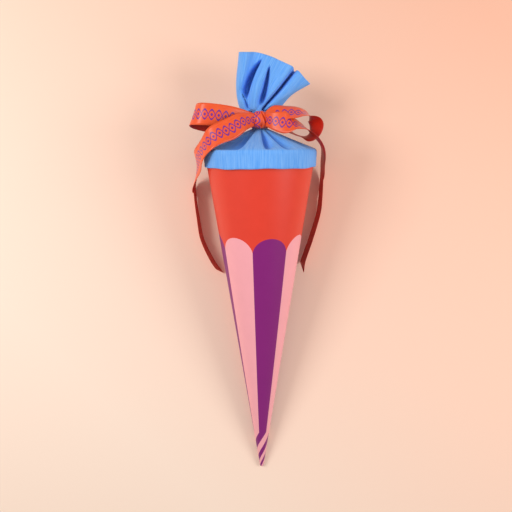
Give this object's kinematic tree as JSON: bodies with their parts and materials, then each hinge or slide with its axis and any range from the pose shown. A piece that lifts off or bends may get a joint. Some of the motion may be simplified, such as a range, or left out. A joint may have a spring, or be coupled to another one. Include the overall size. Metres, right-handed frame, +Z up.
{
  "type": "school cone",
  "caption": "Pointed gift cone of rolled printed card, closed by a gathered crepe paper top that a satin ribbon bow ties",
  "frame": {"origin": "middle of the crepe band's flat back facet, which the cone lies on", "axes": "X across, Y from the tip towards the crepe top along the ground, Z up"},
  "size_m": [0.2745, 0.8771, 0.2199],
  "materials": {
    "printed_card": "semi-gloss",
    "crepe_paper": "matt crinkled",
    "satin_ribbon": "satin"
  },
  "bodies": {
    "root": {"card_cone": "printed_card", "crepe_closure": "crepe_paper", "ribbon_bow": "satin_ribbon"}
  },
  "joints": []
}
